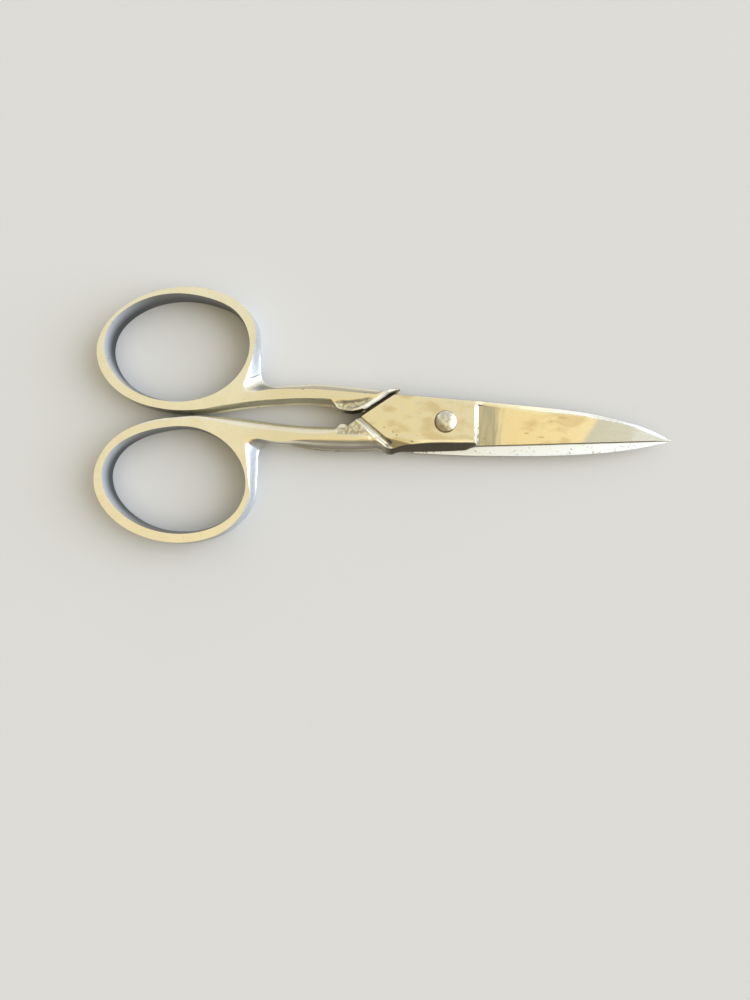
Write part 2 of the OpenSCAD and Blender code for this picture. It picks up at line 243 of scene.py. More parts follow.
GROOVE_FROM = np.array([-13.05, -0.1])
GROOVE_TO = np.array([-8.45, -3.62])
GROOVE_DEPTH = 0.25
GROOVE_BLOCK_W = 0.34
GROOVE_CHEEK_W = 0.8
CHEEK_EDGE = ((-17.2, -2.4), (-15.0, -2.6), (-12.5, -2.75), (-11.0, -3.0))
HEEL_FROM = np.array([-8.8, -2.75])
HEEL_TO = np.array([-5.2, -3.55])
HEEL_SLOPE = 0.42
RISER_TOP = ((4.42, 2.75), (4.75, -2.95))
RISER_FOOT = ((4.92, 2.75), (5.3, -3.5))
BLADE_X = (5.0, 8.0, 12.0, 20.0, 30.0, 34.0, 35.3)
BLADE_T = (1.5, 1.42, 1.28, 0.98, 0.7, 0.5, 0.4)
TIP_SLOPE = 0.16
THIN_RUN = 6.0
STRIP_X = (4.4, 6.0, 8.0, 10.0, 12.0)
STRIP_Z = (BLOCK_T, 1.62, 1.50, 1.39, 1.28)
EDGE_T = 0.3
RECESS_DEPTH = 0.4
LIP_W = 0.4


def ramp(low, high, value):
    t = np.clip((value - low) / (high - low), 0, 1)
    return t * t * (3 - 2 * t)


def soft_min(a, b, blend):
    h = np.clip(0.5 + 0.5 * (b - a) / blend, 0, 1)
    return b + (a - b) * h - blend * h * (1 - h)


def grain(x, y, size, seed):
    """Smooth noise from -1 to 1 over the plane."""
    return np.array([noise.noise(Vector((px / size, py / size, seed))) for px, py in zip(x, y)])


def line_x(line, y):
    (x0, y0), (x1, y1) = line
    return x0 + (x1 - x0) * (y - y0) / (y1 - y0)


def side_of(start, end, x, y):
    """Distance to the left of a line, and along it."""
    d = (end - start) / np.linalg.norm(end - start)
    px, py = x - start[0], y - start[1]
    return d[0] * py - d[1] * px, d[0] * px + d[1] * py


def path_distance(path, x, y):
    """Distance to a path of straight pieces, and how far along it the nearest point is."""
    best = np.full(len(x), 1e9)
    along = np.zeros(len(x))
    run = 0.0
    path = np.array(path)
    for p, q in zip(path[:-1], path[1:]):
        dx, dy = q - p
        length = np.linalg.norm(q - p)
        t = np.clip(((x - p[0]) * dx + (y - p[1]) * dy) / length**2, 0, 1)
        gap = np.hypot(x - p[0] - t * dx, y - p[1] - t * dy)
        closer = gap < best
        best[closer], along[closer] = gap[closer], run + t[closer] * length
        run += length
    return best, along


def outer_height(half, x, y):
    """Height of a half's outer face above its inner face."""
    u = x - half["shift"]
    handle = np.full(len(x), HANDLE_OUT)
    handle -= 0.62 * ramp(-14.0, -9.4, u) * np.clip((-y - 1.3) / 2.6, 0, 1.3)
    raw = ramp(-17.2, -16.0, x) * ramp(-0.12, 0.12, y - np.interp(u, *zip(*CHEEK_EDGE)))
    handle -= raw * (0.12 - 0.03 * grain(x, y, 0.8, 1.0) - 0.012 * grain(x, y, 0.35, 2.0))
    nub = ramp(-17.4, -16.6, x) * (1 - ramp(-15.6, -14.6, x))
    handle -= 0.5 * nub * ramp(-2.2, -0.9, y)

    block = np.full(len(x), BLOCK_T) - 0.0009 * (x * x * 0.3 + y * y)
    below, _ = side_of(HEEL_FROM, HEEL_TO, u, y)
    block = soft_min(block, BLOCK_T + HEEL_SLOPE * below, 0.03)

    # The groove between the cheek and the block
    across, along = side_of(GROOVE_FROM, GROOVE_TO, u, y)
    length = np.linalg.norm(GROOVE_TO - GROOVE_FROM)
    fade = 1 - ramp(length - 0.1, length + 0.45, along)
    floor = block - GROOVE_DEPTH * fade
    on_block = floor + (block - floor) * ramp(0, GROOVE_BLOCK_W, across)
    width = GROOVE_CHEEK_W * (0.65 + 0.35 * ramp(0.3, 3.0, along))
    bank = np.clip((-across - 0.35 * width) / (0.65 * width), 0, 1)
    on_cheek = floor + (handle - floor) * (0.7 * bank + 0.3 * bank * bank * (3 - 2 * bank))
    body = np.where(across > 0, on_block, on_cheek)

    # The ground face of the blade, below the strip along its back
    strip = np.array(half["strip"])
    (ex0, ey0), (ex1, ey1) = half["edge"]
    edge_y = ey0 + (x - ex0) * (ey1 - ey0) / (ex1 - ex0)
    strip_y = np.interp(x, strip[:, 0], strip[:, 1])
    back_t = np.interp(x, BLADE_X, BLADE_T)
    to_tip = np.hypot(x - ex1, y - ey1)
    narrow = np.clip(to_tip / TIP_RUN, 0.15, 1)
    edge_t = EDGE_T * (0.55 + 0.45 * np.clip(to_tip / THIN_RUN, 0, 1))
    from_edge = np.maximum(y - edge_y - EDGE_INSET * narrow, 0)
    across_face = np.maximum(strip_y - edge_y - EDGE_INSET * narrow, 0.15)
    back_t += (np.minimum(back_t, edge_t + TIP_SLOPE * across_face) - back_t) * ramp(24.0, 32.0, x)
    rise = from_edge / across_face
    face = edge_t + (back_t - edge_t) * rise
    strip_slope = np.interp(x, (5, 12, 20, 26), (0.05, 0.22, 0.45, 0.75))
    strip_z = np.where(x < STRIP_X[-1], np.interp(x, STRIP_X, STRIP_Z), back_t) - strip_slope * (y - strip_y)
    face = np.where(y > strip_y, np.maximum(strip_z, 0.1), face)
    across_riser = (x - line_x(RISER_TOP, y)) / (line_x(RISER_FOOT, y) - line_x(RISER_TOP, y))
    mix = np.clip(across_riser, 0, 1)
    mix = 0.25 * mix * mix * (3 - 2 * mix) + 0.75 * mix
    ground = np.minimum(body, body + (face - body) * mix)
    on_strip = np.where(x > 4.4, np.minimum(body, strip_z), body)
    blade = np.where(y > strip_y, on_strip, ground)
    return np.where(x > 3.5, np.maximum(blade, 0.06), body)


def inner_depth(half, x, y):
    """Depth of a handle's inner side below the inner face."""
    depth = np.full(len(x), HANDLE_IN)
    gap, _ = path_distance(half["flat_edge"], x, y)
    flat = np.array(half["flat_edge"])
    past = y > np.interp(x, flat[:, 0], flat[:, 1])
    recess = np.where(past, ramp(-0.1, 0.75, gap), 0) * ramp(-18.6, -15.6, x)
    crest, along = path_distance(half["lip"], x, y)
    lip = np.exp(-((crest / LIP_W) ** 2)) * ramp(1.2, 2.6, along)
    depth -= RECESS_DEPTH * recess * (1 - 0.88 * lip)
    depth += recess * (1 - lip) * (0.06 * grain(x, y, 0.7, 3.0) + 0.025 * grain(x, y, 0.3, 4.0))
    return depth - 0.35 * ramp(half["lip_end"], half["lip_end"] + 1.8, x)


def face_hollow(x, y):
    """Height of the slightly hollow inner face."""
    return 0.045 * ramp(6.0, 10.0, x) * (1 - ramp(26.0, 33.0, x)) * np.ones(len(y))


# ---- Mesh building ----

# Wall profiles from the outline to the flat's edge: share of the way in, share of the way up
LEAN, UPRIGHT, BEVEL, ROUND, LIP = (np.array([(0, 0), *rows, (1, 1)]) for rows in (
    [(0, 0.1), (0.05, 0.17), (0.3, 0.40), (0.62, 0.71), (0.88, 0.945), (0.96, 0.99)],
    [(0, 0.4), (0, 0.72), (0.06, 0.87), (0.25, 0.945), (0.5, 0.98), (0.8, 0.996)],
    [(0.1, 0.1), (0.25, 0.25), (0.4, 0.4), (0.6, 0.6), (0.8, 0.8), (0.93, 0.94)],
    [(0, 0.22), (0.02, 0.42), (0.1, 0.62), (0.27, 0.8), (0.5, 0.92), (0.76, 0.98)],
    [(0, 0.3), (0, 0.6), (0.03, 0.8), (0.14, 0.885), (0.42, 0.945), (0.75, 0.985)]))

# A shank's wall: the share of the way across its thin rim, then for the plain and for the eased wall the share
# of the way in beyond the rim and of the way up
RIM_W = 0.3
RIM_SHARE = np.array([0, 0, 0.5, 1, 1, 1, 1, 1])
PLAIN_WALL = np.array([(0, 0, 0, 0, 0.15, 0.6, 0.9, 1), (0, 0.06, 0.1, 0.15, 0.36, 0.82, 0.965, 1)])
EASED_WALL = np.array([(0, 0, 0, 0, 0.1, 0.42, 0.72, 1), (0, 0.06, 0.1, 0.15, 0.36, 0.76, 0.93, 1)])

SLIVER = 1e-6
FINE = 0.13
MIDDLE = 0.3
COARSE = 0.45


def inside(loops, points):
    """Which points lie inside a set of closed loops, holes included."""
    result = np.zeros(len(points), bool)
    for loop in loops:
        a, b = loop, np.roll(loop, -1, axis=0)
        for k in range(0, len(points), 4000):
            px, py = points[k:k + 4000, 0, None], points[k:k + 4000, 1, None]
            crosses = (a[:, 1] > py) != (b[:, 1] > py)
            rise = b[:, 1] - a[:, 1]
            slope = (b[:, 0] - a[:, 0]) / np.where(rise == 0, 1, rise)
            hits = crosses & (px < a[:, 0] + (py - a[:, 1]) * slope)
            result[k:k + 4000] ^= hits.sum(axis=1) % 2 == 1
    return result


def grid(x0, y0, x1, y1, gap):
    """Points of a triangular grid over a rectangle."""
    rows = []
    for i, y in enumerate(np.arange(y0, y1, gap * 0.866)):
        across = np.arange(x0 + (i % 2) * gap / 2, x1, gap)
        rows.append(np.stack([across, np.full(len(across), y)], axis=1))
    return np.concatenate(rows)


class Shell:
    """Vertices and faces of one closed mesh, in millimetres."""

    def __init__(self):
        self.points = []
        self.faces = []

    def add(self, x, y, z):
        first = len(self.points)
        self.points.extend(zip(x, y, np.broadcast_to(z, np.shape(x))))
        return np.arange(first, len(self.points))

    def strip(self, low, high, flip=False):
        """Quads between two equally long rings of vertices."""
        for i in range(len(low)):
            j = (i + 1) % len(low)
            quad = (low[i], low[j], high[j], high[i])
            self.faces.append(quad[::-1] if flip else quad)

    def wall(self, base, foot, edge, profile, top, flip=False):
        """Rows from the base row's vertices to the flat's edge. Returns the last row."""
        last = base
        for k in range(1, profile.shape[1]):
            way_in, way_up = profile[:, k, 0], profile[:, k, 1]
            at = foot + (edge - foot) * way_in[:, None]
            row = self.add(at[:, 0], at[:, 1], top * way_up)
            self.strip(last, row, flip)
            last = row
        return last

    def cap(self, loops, fill_grids, height, flip=False):
        """Triangles over the space inside closed rows of vertices."""
        points = np.array(self.points)
        outlines = [points[row][:, :2] for row in loops]
        tree = kdtree.KDTree(sum(len(o) for o in outlines))
        for i, p in enumerate(np.concatenate(outlines)):
            tree.insert((p[0], p[1], 0), i)
        tree.balance()
        fill = []
        for k, (gap, box) in enumerate(fill_grids):
            spots = grid(*box, gap)
            for _, (x0, y0, x1, y1) in fill_grids[:k]:
                x, y = spots.T
                spots = spots[(x < x0) | (x > x1) | (y < y0) | (y > y1)]
            spots = spots[inside(outlines, spots)]
            fill += [p for p in spots if tree.find((p[0], p[1], 0))[2] > min(gap, 0.3) * 0.6]
        fill = np.array(fill)
        inner = self.add(*fill.T, height(*fill.T))
        ids = np.concatenate([*loops, inner]).astype(int)
        flat = [Vector(p) for p in np.concatenate([*outlines, fill])]
        edges, start = [], 0
        for row in loops:
            edges += [(start + i, start + (i + 1) % len(row)) for i in range(len(row))]
            start += len(row)
        coords, _, faces, origins, _, _ = delaunay_2d_cdt(flat, edges, [], 0, 1e-6)
        coords = np.array([tuple(c) for c in coords])
        faces = np.array(faces)
        (ax, ay), (bx, by) = (coords[faces[:, k]].T - coords[faces[:, 0]].T for k in (1, 2))
        faces = faces[inside(outlines, coords[faces].mean(axis=1)) & (np.abs(ax * by - ay * bx) > SLIVER)]
        for face in faces:
            corners = [ids[origins[v][0]] for v in face]
            self.faces.append(corners[::-1] if flip else corners)

    def mesh(self, name, place):
        points = np.array([place(*p) for p in self.points]) * MM
        data = bpy.data.meshes.new(name)
        data.from_pydata(points.tolist(), [], [tuple(map(int, f)) for f in self.faces])
        data.validate()
        data.update()
        return data


def styled(style, count):
    return np.repeat(style[None], count, axis=0)


def handle_style(foot, edge, front):
    """Wall profiles of a handle: rounded on the ring, and scooped above a thin rim along the shank. The front
    half's shank is eased towards its flat, round towards the gap and upright at the shoulder."""
    x, y = foot.T
    rim = np.minimum(RIM_W / np.linalg.norm(edge - foot, axis=1), 0.34)[:, None]
    rest, rise = EASED_WALL if front else PLAIN_WALL
    scooped = np.stack([RIM_SHARE * rim + rest * (1 - rim), np.broadcast_to(rise, (len(x), len(rise)))], axis=2)
    gap_side = y > -3.5
    if front:
        scooped = np.where(gap_side[:, None, None], ROUND, scooped)
    shank = np.where(gap_side, ramp(-49.0, -44.0, x) * (1 - ramp(-17.5, -15.5, x)),
                     ramp(-31.5, -27.5, x) * (1 - ramp(-11.0, -8.8, x)))[:, None, None]
    beside = (front * ramp(-15.1, -14.6, x) * (y > -1.3) * (y > edge[:, 1]))[:, None, None]
    return (LEAN * (1 - shank) + scooped * shank) * (1 - beside) + UPRIGHT * beside


def build_half(half):
    """One half as a closed shell in its own frame."""
    shell = Shell()
    front = half["shift"] == 0
    handle = smooth_run(np.concatenate([six(half["inner"]), six(ring_stations(half)),
                                        six(half["outer"])]), OUTLINE_STEP)
    cutting = smooth_run(half["cutting"], OUTLINE_STEP)
    start, end = np.array(half["edge"])
    count = int(np.linalg.norm(end - start) / EDGE_STEP)
    edge = start + (end - start) * np.linspace(0, 1, count)[:, None]
    edge = np.concatenate([edge, inset(edge, EDGE_INSET, end)], axis=1)
    back = smooth_run(half["back"], EDGE_STEP)
    corner, shoulder_end = np.array(half["shoulder"])
    d = (corner - shoulder_end) / np.linalg.norm(corner - shoulder_end)
    corner = corner + d * (back[-1][1] - corner[1]) / d[1]
    corner_run = np.array([corner + (0.12, 0), corner + (0.03, -0.015), corner - d * 0.12])
    count = int(np.linalg.norm(corner - shoulder_end) / EDGE_STEP)
    slope = corner - d * 0.12 + (shoulder_end - corner + d * 0.12) * np.linspace(0, 1, count)[1:, None]
    back = np.concatenate([back, corner_run, slope])
    back = np.concatenate([back, inset(back, BACK_INSET, end)], axis=1)

    blade = np.concatenate([cutting[1:-1], edge, back])
    counts = ((LEAN, len(cutting) - 2), (BEVEL, len(edge)), (UPRIGHT, len(back)))
    blade_style = np.concatenate([styled(*c) for c in counts])
    fade = 6
    for k in range(fade):
        t = (k + 1) / (fade + 1)
        blade_style[len(cutting) - 2 - fade + k] = LEAN * (1 - t) + BEVEL * t

    # The mid-plane outline
    handle_base = shell.add(*handle[:, :2].T, 0)
    blade_base = shell.add(*blade[:, :2].T, 0)
    ends = handle[[0, -1]][:, [0, 1, 4, 5]]
    step = smooth_run(np.concatenate([ends[:1], half["step"], ends[1:]]), OUTLINE_STEP)[1:-1]
    step_base = shell.add(*step[:, :2].T, 0)

    # Outer side: one wall round the whole outline, then the cap
    foot = np.concatenate([handle[:, :2], blade[:, :2]])
    flat_edge = np.concatenate([handle[:, 2:4], blade[:, 2:4]])
    style = np.concatenate([handle_style(handle[:, :2], handle[:, 2:4], front), blade_style])
    base = np.concatenate([handle_base, blade_base])
    outer_rim = shell.wall(base, foot, flat_edge, style, outer_height(half, *flat_edge.T))

    # The finger opening
    rows = smooth_run(np.array(half["flat_in"] + ((360, half["flat_in"][0][1]),)), 1.5)[:-1]
    hole = np.array([ring_point(half, a, out - RING_INNER_LEAN) + ring_point(half, a, out) for a, out in rows])
    hole_base = shell.add(*hole[:, :2].T, 0)
    hole_style = styled(LEAN, len(hole))
    hole_top = outer_height(half, *hole[:, 2:].T)
    hole_rim = shell.wall(hole_base, hole[:, :2], hole[:, 2:], hole_style, hole_top, flip=True)

    # The rivet's bore
    turn = np.linspace(0, 2 * math.pi, 48, endpoint=False)
    circle = np.stack([np.cos(turn), np.sin(turn)], axis=1)
    bore, bore_edge = circle * half["bore_r"], circle * (half["bore_r"] + BORE_EASE)
    bore_base = shell.add(*bore.T, 0)
    bore_rim = shell.wall(bore_base, bore, bore_edge, styled(UPRIGHT, len(turn)),
                          outer_height(half, *bore_edge.T), flip=True)

    grids = [(FINE, (-17.6, -5.4, -8.0, 3.0)), (FINE, (-8.0, -5.0, -4.4, -2.4)), (FINE, (4.1, -3.6, 5.7, 5.0)),
             (MIDDLE / 2, (23.0, -2.6, 35.3, 4.0)), (MIDDLE, (5.7, -3.6, 35.3, 5.0)),
             (COARSE, (-54.0, -22.0, 36.0, 6.0))]
    shell.cap([outer_rim, hole_rim, bore_rim], grids, lambda x, y: outer_height(half, x, y))

    # Inner side of the handle, with the step across it
    low_base = np.concatenate([handle_base, step_base[::-1]])
    low_foot = np.concatenate([handle[:, :2], step[::-1, :2]])
    low_edge = np.concatenate([handle[:, 4:6], step[::-1, 2:4]])
    low_style = np.concatenate([handle_style(handle[:, :2], handle[:, 4:6], front), styled(LIP, len(step))])
    near_step = 10
    for k in range(near_step):
        t = (k + 1) / (near_step + 1)
        low_style[len(handle) - near_step + k] = LEAN * (1 - t) + LIP * t
        low_style[near_step - 1 - k] = LEAN * (1 - t) + LIP * t
    low_top = -inner_depth(half, *low_edge.T)
    low_rim = shell.wall(low_base, low_foot, low_edge, low_style, low_top, flip=True)
    hole_top = -inner_depth(half, *hole[:, 2:].T)
    hole_low = shell.wall(hole_base, hole[:, :2], hole[:, 2:], hole_style, hole_top)
    grids = [(FINE, (-17.8, -5.4, -7.0, 0.0)), (COARSE, (-54.0, -22.0, -7.0, 6.0))]
    shell.cap([low_rim, hole_low], grids, lambda x, y: -inner_depth(half, x, y), flip=True)

    # The inner face of the block and blade
    face = np.concatenate([handle_base[-1:], blade_base, handle_base[:1], step_base])
    shell.cap([face, bore_base], [(0.5, (-16.0, -6.0, 36.0, 6.0))], face_hollow, flip=True)
    return shell


def new_object(name, data):
    made = bpy.data.objects.new(name, data)
    bpy.context.scene.collection.objects.link(made)
    return made


def new_piece(name, data, body, node, material):
    piece = new_object(name, data)
    data.materials.append(material)
    data.shade_smooth()
    data.set_sharp_from_angle(angle=math.radians(38))
    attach(piece, body)
    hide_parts(node)


# ---- Materials ----

class Graph:
    """Short names for the shader nodes that the masks need. A value is a socket or a number."""

    def __init__(self, tree):
        self.nodes, self.links = tree.nodes, tree.links
        self.nodes.clear()
        self.coords = self.nodes.new("ShaderNodeTexCoord")

    def feed(self, socket, value):
        if isinstance(value, bpy.types.NodeSocket):
            self.links.new(value, socket)
        elif isinstance(value, tuple):
            socket.default_value = (*value, 1) if len(socket.default_value) == 4 else value
        else:
            socket.default_value = value

    def math(self, operation, a, b=0.0):
        node = self.nodes.new("ShaderNodeMath")
        node.operation = operation
        self.feed(node.inputs[0], a)
        self.feed(node.inputs[1], b)
        return node.outputs[0]

    def add(self, *values):
        total = values[0]
        for value in values[1:]:
            total = self.math("ADD", total, value)
        return total

    def times(self, *values):
        total = values[0]
        for value in values[1:]:
            total = self.math("MULTIPLY", total, value)
        return total

    def ramp(self, low, high, value, start=0.0, end=1.0):
        node = self.nodes.new("ShaderNodeMapRange")
        node.interpolation_type = "SMOOTHSTEP"
        for name, number in (("From Min", low), ("From Max", high), ("To Min", start), ("To Max", end)):
            node.inputs[name].default_value = number
        self.feed(node.inputs["Value"], value)
        return node.outputs["Result"]

    def split(self, vector):
        node = self.nodes.new("ShaderNodeSeparateXYZ")
        self.feed(node.inputs[0], vector)
        return node.outputs

    def join(self, x, y, z):
        node = self.nodes.new("ShaderNodeCombineXYZ")
        for socket, value in zip(node.inputs, (x, y, z)):
            self.feed(socket, value)
        return node.outputs[0]

    def noise(self, vector, scale, detail):
        node = self.nodes.new("ShaderNodeTexNoise")
        self.feed(node.inputs["Vector"], vector)
        node.inputs["Scale"].default_value = scale
        node.inputs["Detail"].default_value = detail
        return node.outputs["Fac"]

    def mix(self, factor, a, b):
        node = self.nodes.new("ShaderNodeMix")
        node.data_type = "RGBA"
        self.feed(node.inputs[0], factor)
        self.feed(node.inputs[6], a)
        self.feed(node.inputs[7], b)
        return node.outputs[2]

    def paint(self, under, colour, *masks):
        return self.mix(self.times(*masks), under, colour)

    def slant(self, x, y, point, normal):
        """Distance past a line, on the side that its normal points to."""
        length = math.hypot(*normal)
        nx, ny = normal[0] / length, normal[1] / length
        return self.add(self.times(x, nx), self.times(y, ny), -(point[0] * nx + point[1] * ny))

    def spots(self, x, y, places):
        """A mask of soft oval spots, each at x, y with two radii and a strength."""
        total = 0.0
        for px, py, rx, ry, strength in places:
            squares = [self.math("POWER", self.math("ABSOLUTE", self.times(self.add(v, -at), 1 / r)), 2.0)
                       for v, at, r in ((x, px, rx), (y, py, ry))]
            total = self.add(total, self.ramp(1.5, 0.3, self.add(*squares), 0.0, strength))
        return self.math("MINIMUM", total, 1.0)

    def metal(self, colour, roughness, strength, depth, height):
        """The metal that the masks lead to, with its bump."""
        shader = self.nodes.new("ShaderNodeBsdfPrincipled")
        bump = self.nodes.new("ShaderNodeBump")
        output = self.nodes.new("ShaderNodeOutputMaterial")
        for node, name, value in ((shader, "Metallic", 1.0), (shader, "Base Color", colour),
                                  (shader, "Roughness", roughness), (bump, "Strength", strength),
                                  (bump, "Distance", depth * MM), (bump, "Height", height),
                                  (shader, "Normal", bump.outputs[0]), (output, "Surface", shader.outputs[0])):
            self.feed(node.inputs[name], value)


def new_material(name):
    material = bpy.data.materials.new(name)
    material.use_nodes = True
    return material, Graph(material.node_tree)


POLISHED = (0.80, 0.765, 0.66)
WARM = (0.72, 0.66, 0.505)
GOLDEN = (0.77, 0.685, 0.45)
PATINA = (0.60, 0.50, 0.31)
# The olive, the cool and lit wall colours, the rim, lip, bank and tip colours and the near-black below are
# painted light and shade
OLIVE_SHADE = (0.34, 0.36, 0.335)
RAW_DARK = (0.30, 0.28, 0.20)
RAW_PALE = (0.62, 0.58, 0.45)
WALL = (0.50, 0.49, 0.45)
WALL_COOL_REFLECTION = (0.62, 0.66, 0.70)
WALL_WARM = (0.36, 0.33, 0.265)
GAP_WALL_LIT = (0.86, 0.82, 0.64)
RIM_HIGHLIGHT = (0.64, 0.62, 0.55)
LIP_HIGHLIGHT = (0.88, 0.87, 0.80)
BANK_HIGHLIGHT_GREY = (0.64, 0.625, 0.545)
# Near-black: painted shade in the slot and on the block's cutting-side walls, and the rear half's seam line
DARK_SHADE_AND_SEAM = (0.085, 0.07, 0.052)
GROUND = (0.71, 0.73, 0.745)
TIP_REFLECTION_GREY = (0.50, 0.53, 0.54)
RUST = (0.26, 0.15, 0.07)
# Directions that the masks follow: across and along the groove, off the shoulder, and down the heel
GROOVE_ACROSS = (0.608, 0.794)
GROOVE_ALONG = (0.794, -0.608)
OFF_SHOULDER = (-0.59, 0.807)
DOWN_HEEL = (-0.217, -0.976)
# x, y, radii and strength: dark pits and smudges, in world millimetres
FRONT_MARKS = ((-5.0, -3.25, 0.28, 0.16, 0.75), (-8.05, -2.0, 0.22, 0.2, 0.6), (-7.4, -2.4, 0.15, 0.15, 0.6),
               (-9.4, -1.3, 0.18, 0.14, 0.5), (12.8, -1.1, 0.45, 0.14, 0.4), (15.0, -1.6, 0.6, 0.16, 0.38),
               (18.2, 1.5, 0.9, 0.1, 0.35), (16.4, 0.9, 0.55, 0.1, 0.3), (6.3, -2.2, 0.22, 0.16, 0.65),
               (5.9, -2.75, 0.3, 0.12, 0.4), (-39.3, -19.6, 0.12, 0.1, 0.3))
REAR_MARKS = ((-39.3, -0.6, 0.14, 0.3, 0.75), (10.5, -4.1, 0.15, 0.1, 0.5), (14.2, -3.8, 0.2, 0.09, 0.45),
              (19.5, -4.0, 0.14, 0.12, 0.6), (22.3, -3.2, 0.2, 0.1, 0.5), (24.4, -3.5, 0.25, 0.09, 0.45),
              (27.6, -2.4, 0.16, 0.1, 0.5), (29.5, -2.7, 0.2, 0.08, 0.35), (-30.9, 1.9, 0.1, 0.1, 0.4))


def half_material(name, rear):
    """Polished flats, duller forged walls and a bright inner face, placed by the piece's own axes, with painted
    highlights, reflections and shade on the walls, edges, blade face and in the joint's slot.
    """
    half, other_half = (REAR, FRONT) if rear else (FRONT, REAR)
    shift, other_shift = half["shift"], other_half["shift"]
    material, g = new_material(name)
    x, y, z = (g.times(v, 1 / MM) for v in g.split(g.coords.outputs["Object"]))
    place = g.join(x, y, z)
    nx, ny, nz = g.split(g.coords.outputs["Normal"])
    side = -1.0 if rear else 1.0
    up = g.add(g.times(z, side), -side * (MID_Z + side * FACE_GAP / 2))
    flip_y = g.times(y, side)

    # Fine scratches along the length, and soft mottling
    streaks = g.noise(g.join(g.times(x, 0.16), g.times(y, 1.5), g.times(z, 1.5)), 3.2, 5.0)
    mottle = g.noise(place, 0.55, 4.0)
    speckle = g.noise(place, 4.5, 2.0)

    steep = g.ramp(0.93, 0.55, g.math("ABSOLUTE", nz))
    inner_face = g.times(g.ramp(0.12, 0.05, up), g.ramp(0.8, 0.97, g.times(nz, -side)), g.ramp(-16.0, -15.0, x),
                         g.ramp(0.2, -0.02, g.times(up, -1.0)))

    colour = g.mix(g.ramp(0.35, 0.7, mottle), POLISHED, g.mix(0.3, POLISHED, WARM))
    colour = g.paint(colour, WARM, g.ramp(-33.0, -25.0, x), 0.9)
    # The block is warmer and more stained towards the groove, and the blade's face is golden
    block = g.times(g.ramp(-13.5, -12.0, x), g.ramp(4.6, 4.2, x), g.ramp(1.5, 1.7, up))
    stain = g.times(block, g.ramp(3.0, -9.0, x), g.ramp(0.40, 0.62, g.noise(place, 0.9, 5.0)))
    colour = g.paint(colour, GOLDEN, stain, 0.7)
    face = g.times(g.ramp(4.9, 5.2, x), g.ramp(0.02, 0.1, up))
    colour = g.paint(colour, GOLDEN, face, g.ramp(6.0, 12.0, x), g.ramp(36.0, 16.0, x), 0.75)
    patina = g.ramp(0.47, 0.64, g.noise(g.join(g.times(x, 0.5), y, z), 0.5, 6.0))
    colour = g.paint(colour, PATINA, g.math("MAXIMUM", block, face), patina, 0.75)
    if not rear:
        # Painted shade, olive, on the blade's face next to the riser
        below_strip = g.times(face, g.ramp(-0.04, 0.04, g.slant(x, y, (8.0, 2.6), (-0.09, -1.0))))
        brushed = g.noise(g.join(g.times(x, 2.2), g.times(y, 0.2), 0.0), 1.0, 4.0)
        shade = g.add(x, g.times(g.add(brushed, -0.5), 2.4))
        olive = g.mix(g.ramp(0.4, 0.62, brushed), OLIVE_SHADE, GOLDEN)
        colour = g.paint(colour, g.mix(0.75, olive, OLIVE_SHADE), below_strip, g.ramp(9.2, 7.4, shade), 0.85)
        # A painted grey reflection on the face towards the tip, where its normal turns away
        tip_side = g.slant(x, y, (22.65, -0.1), (1.0, -0.55))
        rise = g.add(ny, g.times(g.ramp(24.0, 30.0, x), -0.12))
        colour = g.paint(colour, TIP_REFLECTION_GREY, face, g.ramp(-0.4, 0.5, tip_side), g.ramp(0.32, 0.2, rise), 0.9)
        # A painted reflection, gold then white, where the face turns up towards the strip
        on_back = g.mix(g.ramp(12.0, 21.0, x), (0.95, 0.88, 0.66), (0.88, 0.88, 0.85))
        colour = g.paint(colour, on_back, face, g.ramp(0.12, 0.24, rise))

    # The block is painted paler along its cutting side, as a highlight on the edge
    from_edge = g.slant(x, flip_y, (0.0, -2.95 if rear else -3.1), (-0.041, 1.0))
    pale_edge_highlight = g.times(block, g.ramp(0.42, 0.12, from_edge), g.ramp(-5.5, -3.0, x))
    colour = g.paint(colour, (0.93, 0.90, 0.76), pale_edge_highlight, 0.75)

    groove = (GROOVE_FROM[0] + shift, GROOVE_FROM[1])
    across = g.slant(x, flip_y, groove, GROOVE_ACROSS)
    beside = g.times(g.ramp(-15.0, -14.0, x), g.ramp(-7.5 + shift, -8.0 + shift, x), g.ramp(1.2, 1.4, up))
    in_groove = g.times(beside, g.ramp(-0.34, -0.2, across), g.ramp(0.36, 0.2, across))
    # Painted shade, olive, along the groove's floor
    colour = g.paint(colour, OLIVE_SHADE, in_groove, 0.65)
    along_groove = g.slant(x, flip_y, groove, GROOVE_ALONG)
    part = g.math("DIVIDE", across, g.ramp(0.3, 3.0, along_groove, 0.65, 1.0))
    bank = g.times(beside, g.ramp(-0.9, -0.72, part), g.ramp(-0.2, -0.42, part))
    riser = g.times(g.ramp(4.3, 4.45, x), g.ramp(5.4, 5.15, x), g.ramp(1.0, 1.2, up), g.ramp(0.08, 0.25, nx))

    # Rough forging: the cheek between the flat and the groove, and the recess behind the lip
    cheek = g.times(g.ramp(-17.0, -16.2, x), g.ramp(-8.4 + shift, -9.0 + shift, x), g.ramp(1.88, 1.98, up),
                    g.ramp(-2.85, -2.6, flip_y), g.ramp(-0.78, -0.86, across))
    recess = g.times(g.ramp(-17.4, -16.6, x), g.ramp(-7.0 + other_shift, -9.0 + other_shift, x),
                     g.ramp(-0.3, -0.6, up), g.ramp(-2.19, -2.12, up), g.ramp(0.45, 0.75, g.times(nz, -side)))
    raw = g.math("MAXIMUM", cheek, recess)
    raw_colour = g.mix(g.ramp(0.36, 0.64, g.noise(place, 2.2, 5.0)), RAW_DARK, RAW_PALE)
    colour = g.paint(colour, raw_colour, raw, 0.85)
